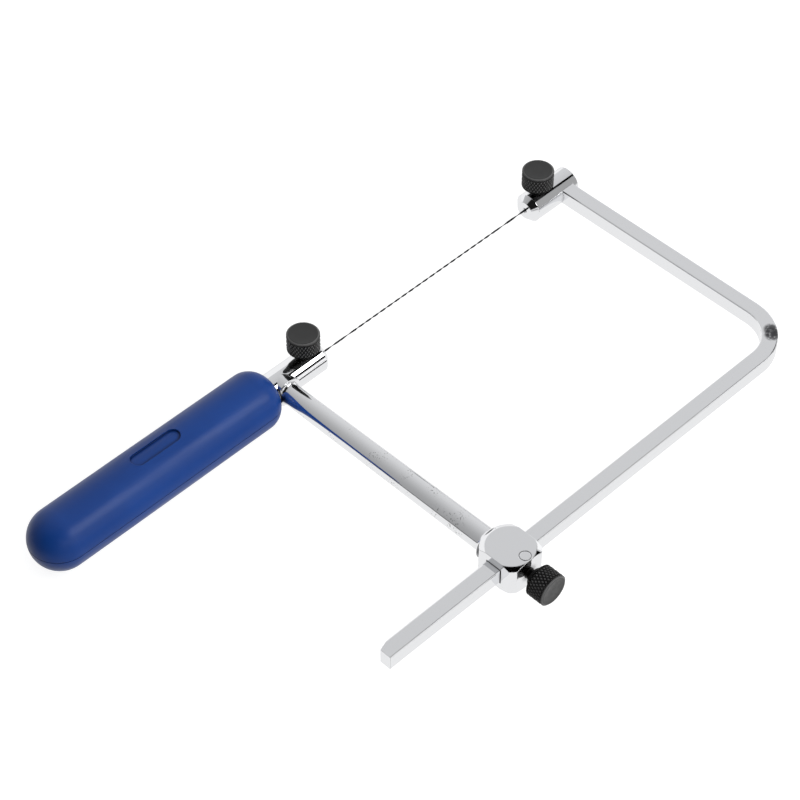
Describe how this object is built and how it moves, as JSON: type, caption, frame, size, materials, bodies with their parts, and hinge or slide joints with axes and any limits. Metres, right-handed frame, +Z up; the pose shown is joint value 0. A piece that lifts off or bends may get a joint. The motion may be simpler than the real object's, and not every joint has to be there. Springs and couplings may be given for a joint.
{
  "type": "fret saw",
  "caption": "Adjustable fret saw: plated frame with a sliding L-shaped bar, a spiral blade clamped by knurled thumbscrews and a round-ended blue handle.",
  "frame": {"origin": "under the middle of the saw's box, on the plane of the lowest point of the handle", "axes": "+X along the blade from the handle to the far clamp, +Y from the back bar to the blade, +Z up along the blade thumbscrews"},
  "size_m": [0.2562, 0.1404, 0.027],
  "materials": {
    "handle_plastic": "satin blue moulded plastic",
    "plated_metal": "bright chrome plating",
    "black_steel": "satin black oxide with knurled rim",
    "bare_steel": "turned bare steel",
    "blade_steel": "hardened twisted steel",
    "pad_brass": "turned brass"
  },
  "bodies": {
    "frame": {"handle_upper_half": "handle_plastic", "handle_lower_half": "handle_plastic", "frame_casting": "plated_metal", "tang_rod": "bare_steel", "tang_cross_pin": "bare_steel", "spiral_blade": "blade_steel"},
    "bar": {"slide_bar": "plated_metal", "far_clamp_head": "plated_metal"},
    "near_pad": {"near_blade_pad": "pad_brass"},
    "near_screw": {"near_blade_screw": "black_steel"},
    "far_pad": {"far_blade_pad": "pad_brass"},
    "far_screw": {"far_blade_screw": "black_steel"},
    "lock_shoe": {"bar_lock_shoe": "pad_brass"},
    "lock_screw": {"bar_lock_screw": "black_steel"}
  },
  "joints": [
    {"name": "bar_slide", "type": "slide", "parent": "frame", "child": "bar", "axis": [1, 0, 0], "range_m": [-0.1, 0.045]},
    {"name": "near_pad_lift", "type": "slide", "parent": "frame", "child": "near_pad", "axis": [0, 0, 1], "range_m": [0, 0.00215]},
    {"name": "near_screw_turn", "type": "hinge", "parent": "near_pad", "child": "near_screw", "pos_m": [-0.00695, 0.05915, 0.02], "axis": [0, 0, 1], "range_deg": [0, 1080]},
    {"name": "far_pad_lift", "type": "slide", "parent": "bar", "child": "far_pad", "axis": [0, 0, 1], "range_m": [0, 0.00215]},
    {"name": "far_screw_turn", "type": "hinge", "parent": "far_pad", "child": "far_screw", "pos_m": [0.11105, 0.05915, 0.02], "axis": [0, 0, 1], "range_deg": [0, 1080]},
    {"name": "lock_shoe_back", "type": "slide", "parent": "frame", "child": "lock_shoe", "axis": [0, -1, 0], "range_m": [0, 0.00215]},
    {"name": "lock_screw_turn", "type": "hinge", "parent": "lock_shoe", "child": "lock_screw", "pos_m": [-0.01945, -0.0623, 0.0111], "axis": [0, -1, 0], "range_deg": [0, 1080]}
  ],
  "couplings": [
    {"joint": "near_pad_lift", "follows": "near_screw_turn", "m_per_rad": 0.00011141},
    {"joint": "far_pad_lift", "follows": "far_screw_turn", "m_per_rad": 0.00011141},
    {"joint": "lock_shoe_back", "follows": "lock_screw_turn", "m_per_rad": 0.00011141}
  ]
}
